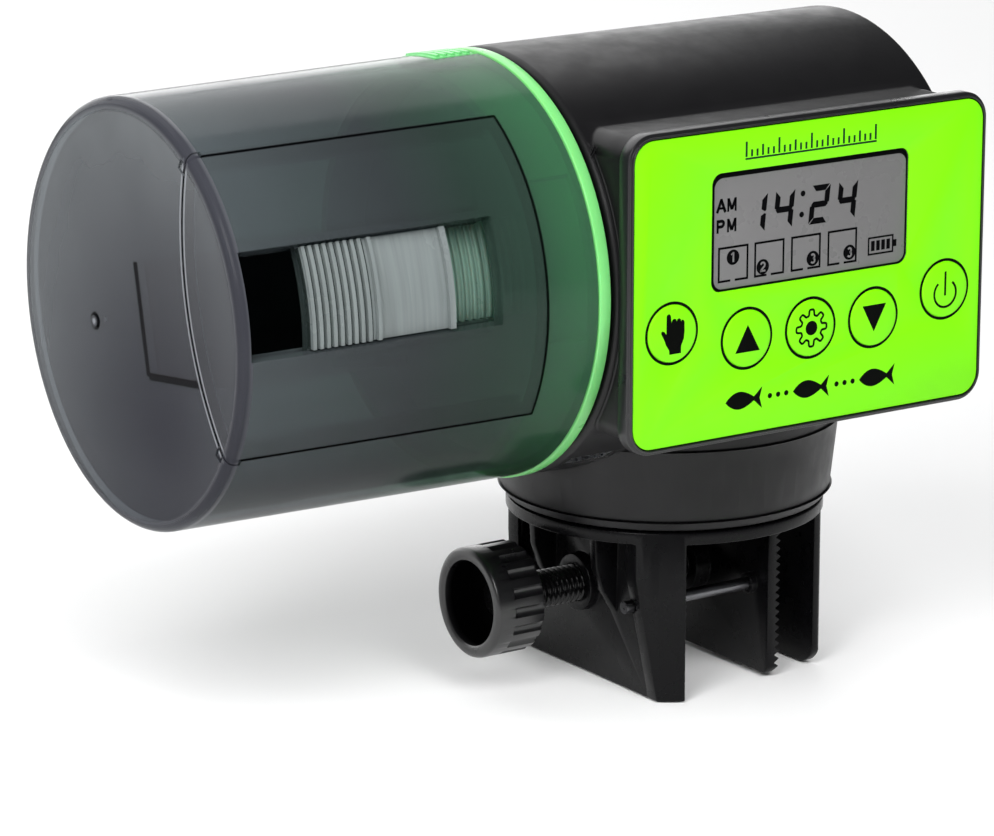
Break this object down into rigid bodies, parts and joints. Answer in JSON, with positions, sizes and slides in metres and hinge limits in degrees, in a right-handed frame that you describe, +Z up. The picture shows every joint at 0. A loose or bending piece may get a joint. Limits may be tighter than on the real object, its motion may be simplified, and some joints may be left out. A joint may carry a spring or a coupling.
{
  "type": "automatic fish feeder",
  "caption": "Automatic fish feeder: clear hopper drum with dosing slider turned by a geared motor, clock panel with keys, swivel clamp for a tank rim.",
  "frame": {"origin": "on the swivel axis, in the plane of the clamp disc's underside, where the tank's rim seats", "axes": "+Z up, +X along the drum's axis from the hopper to the motor housing, -Y towards the side the panel faces"},
  "size_m": [0.1358, 0.0715, 0.1046],
  "materials": {
    "black_plastic": "satin moulded black plastic",
    "smoke_clear": "clear smoke-grey polycarbonate",
    "slider_clear": "frosted clear plastic",
    "green_plastic": "glossy green plastic",
    "lime_film": "printed lime-green overlay",
    "lcd": "grey liquid-crystal display",
    "white_plastic": "natural acetal",
    "board_green": "green solder mask",
    "steel": "zinc-plated steel",
    "bronze": "sintered bronze",
    "cell_jacket": "blue cell jacket"
  },
  "bodies": {
    "clamp": {"clamp_bracket": "black_plastic", "swivel_washer": "steel", "swivel_screw": "steel"},
    "jaw": {"clamp_jaw": "black_plastic", "guide_rods": "steel"},
    "screw": {"clamp_screw": "black_plastic", "screw_clip": "steel", "clamp_knob": "black_plastic"},
    "housing": {"main_housing": "black_plastic", "end_cap": "black_plastic", "end_cap_screws": "steel", "power_socket": "steel", "front_bezel": "black_plastic", "bezel_screws": "steel", "faceplate": "lime_film", "lcd_glass": "lcd", "lcd_holder": "white_plastic", "circuit_board": "board_green", "board_screws": "steel", "key_switches": "black_plastic", "battery_tray": "black_plastic", "battery_contacts": "steel", "battery_springs": "steel", "battery_cells": "cell_jacket", "gearbox_plate": "white_plastic", "gearbox_screws": "steel", "gear_pins": "steel", "motor": "steel", "motor_screws": "steel", "shaft_bush": "bronze"},
    "battery_hatch": {"battery_cover": "black_plastic", "cover_contact": "steel"},
    "feed_key": {"feed_button": "lime_film"},
    "up_key": {"up_button": "lime_film"},
    "set_key": {"set_button": "lime_film"},
    "down_key": {"down_button": "lime_film"},
    "power_key": {"power_button": "lime_film"},
    "motor_rotor": {"motor_shaft": "steel", "motor_pinion": "white_plastic"},
    "second_gear": {"second_gear": "white_plastic"},
    "first_gear": {"first_gear": "white_plastic"},
    "collar": {"drum_collar": "green_plastic", "drive_shaft": "steel", "output_gear": "white_plastic"},
    "release": {"release_tab": "green_plastic"},
    "barrel": {"drum_barrel": "smoke_clear"},
    "door": {"hopper_door": "smoke_clear"},
    "slider": {"dose_slider": "slider_clear"}
  },
  "joints": [
    {"name": "swivel", "type": "hinge", "parent": "clamp", "child": "housing", "pos_m": [0, 0, 0.0035], "axis": [0, 0, 1], "continuous": true},
    {"name": "jaw_slide", "type": "slide", "parent": "clamp", "child": "jaw", "axis": [1, 0, 0], "range_m": [-0.0148, 0.0072]},
    {"name": "screw_turn", "type": "hinge", "parent": "jaw", "child": "screw", "pos_m": [-0.02, 0, -0.0108], "axis": [1, 0, 0], "range_deg": [-5400, 2700]},
    {"name": "drum_spin", "type": "hinge", "parent": "housing", "child": "collar", "pos_m": [-0.0335, 0, 0.0446], "axis": [1, 0, 0], "continuous": true},
    {"name": "first_gear_spin", "type": "hinge", "parent": "housing", "child": "first_gear", "pos_m": [-0.023, -0.01273, 0.05733], "axis": [1, 0, 0], "continuous": true},
    {"name": "second_gear_spin", "type": "hinge", "parent": "housing", "child": "second_gear", "pos_m": [-0.023, 0.0027, 0.05963], "axis": [1, 0, 0], "continuous": true},
    {"name": "motor_spin", "type": "hinge", "parent": "housing", "child": "motor_rotor", "pos_m": [-0.023, -0.0081, 0.0501], "axis": [1, 0, 0], "continuous": true},
    {"name": "tab_press", "type": "slide", "parent": "collar", "child": "release", "axis": [0, -0.1219, -0.9925], "range_m": [0, 0.0008], "stiffness_N_per_m": 400},
    {"name": "barrel_pull", "type": "slide", "parent": "collar", "child": "barrel", "axis": [-1, 0, 0], "range_m": [0, 0.03]},
    {"name": "door_slide", "type": "slide", "parent": "barrel", "child": "door", "axis": [-1, 0, 0], "range_m": [0, 0.055]},
    {"name": "dose_slide", "type": "slide", "parent": "door", "child": "slider", "axis": [1, 0, 0], "range_m": [-0.0104, 0.0075]},
    {"name": "cover_pull", "type": "slide", "parent": "housing", "child": "battery_hatch", "axis": [1, 0, 0], "range_m": [0, 0.02]},
    {"name": "feed_press", "type": "slide", "parent": "housing", "child": "feed_key", "axis": [0, 1, 0], "range_m": [0, 0.0005], "stiffness_N_per_m": 300},
    {"name": "up_press", "type": "slide", "parent": "housing", "child": "up_key", "axis": [0, 1, 0], "range_m": [0, 0.0005], "stiffness_N_per_m": 300},
    {"name": "set_press", "type": "slide", "parent": "housing", "child": "set_key", "axis": [0, 1, 0], "range_m": [0, 0.0005], "stiffness_N_per_m": 300},
    {"name": "down_press", "type": "slide", "parent": "housing", "child": "down_key", "axis": [0, 1, 0], "range_m": [0, 0.0005], "stiffness_N_per_m": 300},
    {"name": "power_press", "type": "slide", "parent": "housing", "child": "power_key", "axis": [0, 1, 0], "range_m": [0, 0.0005], "stiffness_N_per_m": 300}
  ],
  "couplings": [
    {"joint": "screw_turn", "follows": "jaw_slide", "rad_per_m": 6283.2},
    {"joint": "first_gear_spin", "follows": "drum_spin", "ratio": -4},
    {"joint": "second_gear_spin", "follows": "drum_spin", "ratio": 13.333},
    {"joint": "motor_spin", "follows": "drum_spin", "ratio": -40}
  ]
}
